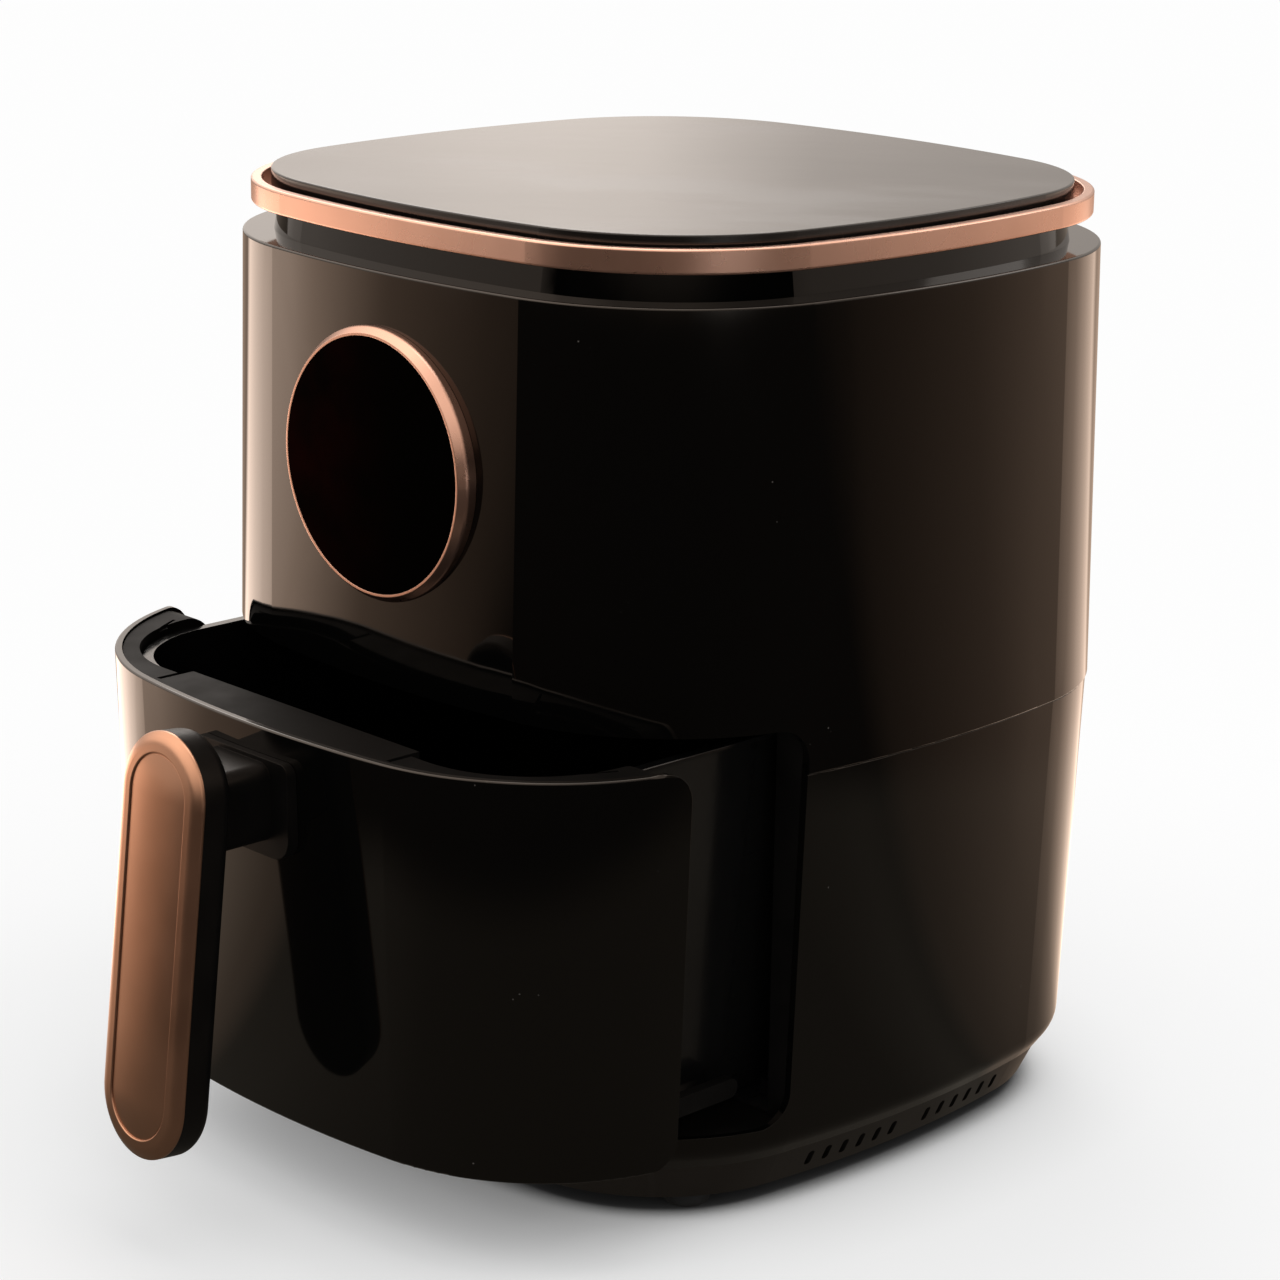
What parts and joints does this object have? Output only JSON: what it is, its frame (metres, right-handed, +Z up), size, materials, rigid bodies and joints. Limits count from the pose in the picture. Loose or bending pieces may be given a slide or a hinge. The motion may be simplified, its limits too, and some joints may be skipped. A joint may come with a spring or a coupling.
{
  "type": "air fryer",
  "caption": "Countertop air fryer: tapered rounded housing, round touch display, trim ring, pull-out pan drawer with a tilted handle, crisper plate, fan and heater above the pan.",
  "frame": {"origin": "middle of the housing's footprint, on the plane of the feet", "axes": "+Z up, the drawer pulls out along -Y, +X to the right seen from the front"},
  "size_m": [0.2738, 0.3784, 0.3367],
  "materials": {
    "gloss_black": "high gloss moulded black",
    "matte_black": "fine matte moulded black",
    "rose_gold": "satin rose-gold plating",
    "display_glass": "polished dark panel",
    "inner_plastic": "plain moulded grey",
    "plunger_red": "plain moulded red",
    "board_green": "solder mask",
    "rubber_black": "matte",
    "silicone": "matte silicone",
    "sheet_steel": "bare drawn sheet",
    "heater_steel": "heat-darkened sheath",
    "lamination": "stacked sheet",
    "shaft_steel": "ground",
    "screw_steel": "zinc plated",
    "copper_winding": "enamelled wire",
    "fan_metal": "pressed sheet",
    "nonstick": "black non-stick coating"
  },
  "bodies": {
    "housing": {"lower_housing": "gloss_black", "upper_housing": "gloss_black", "top_collar": "gloss_black", "trim_ring": "rose_gold", "top_cover": "gloss_black", "base_plate": "matte_black", "rubber_feet": "rubber_black", "base_screws": "screw_steel", "display_bezel": "rose_gold", "display_lens": "display_glass", "display_board": "board_green", "display_holder": "inner_plastic", "chamber_frame": "matte_black", "chamber_liner": "sheet_steel", "guide_rails": "matte_black", "heater_guard": "sheet_steel", "element_clips": "sheet_steel", "heating_element": "heater_steel", "heater_dome": "sheet_steel", "thermal_cutout": "shaft_steel", "exhaust_grille": "matte_black", "exhaust_duct": "sheet_steel", "motor_bracket": "sheet_steel", "lower_bearing": "sheet_steel", "upper_bearing": "sheet_steel", "motor_stator": "lamination", "motor_coil": "copper_winding", "motor_screws": "screw_steel", "board_bracket": "sheet_steel", "power_board": "board_green", "door_switch": "inner_plastic", "cord_gland": "rubber_black"},
    "fan_rotor": {"motor_shaft": "shaft_steel", "motor_rotor": "lamination", "hot_air_fan": "fan_metal", "cooling_fan": "fan_metal"},
    "drawer": {"drawer_front": "gloss_black", "drawer_inner": "matte_black", "frying_pan": "nonstick", "pan_screws": "screw_steel", "handle_cover": "rose_gold", "handle_grip": "matte_black", "handle_stem": "matte_black", "handle_screws": "screw_steel"},
    "crisper": {"crisper_plate": "nonstick", "crisper_bumpers": "silicone"},
    "door_plunger": {"switch_plunger": "plunger_red"}
  },
  "joints": [
    {"name": "drawer_slide", "type": "slide", "parent": "housing", "child": "drawer", "axis": [0, -1, 0], "range_m": [-0.054, 0.19]},
    {"name": "crisper_lift", "type": "slide", "parent": "drawer", "child": "crisper", "axis": [0, 0, 1], "range_m": [0, 0.1]},
    {"name": "fan_spin", "type": "hinge", "parent": "housing", "child": "fan_rotor", "pos_m": [0, -0.006, 0.25], "axis": [0, 0, 1], "continuous": true},
    {"name": "plunger_press", "type": "slide", "parent": "housing", "child": "door_plunger", "axis": [0, 1, 0], "range_m": [0, 0.002], "stiffness_N_per_m": 300, "springref_m": -0.001}
  ]
}
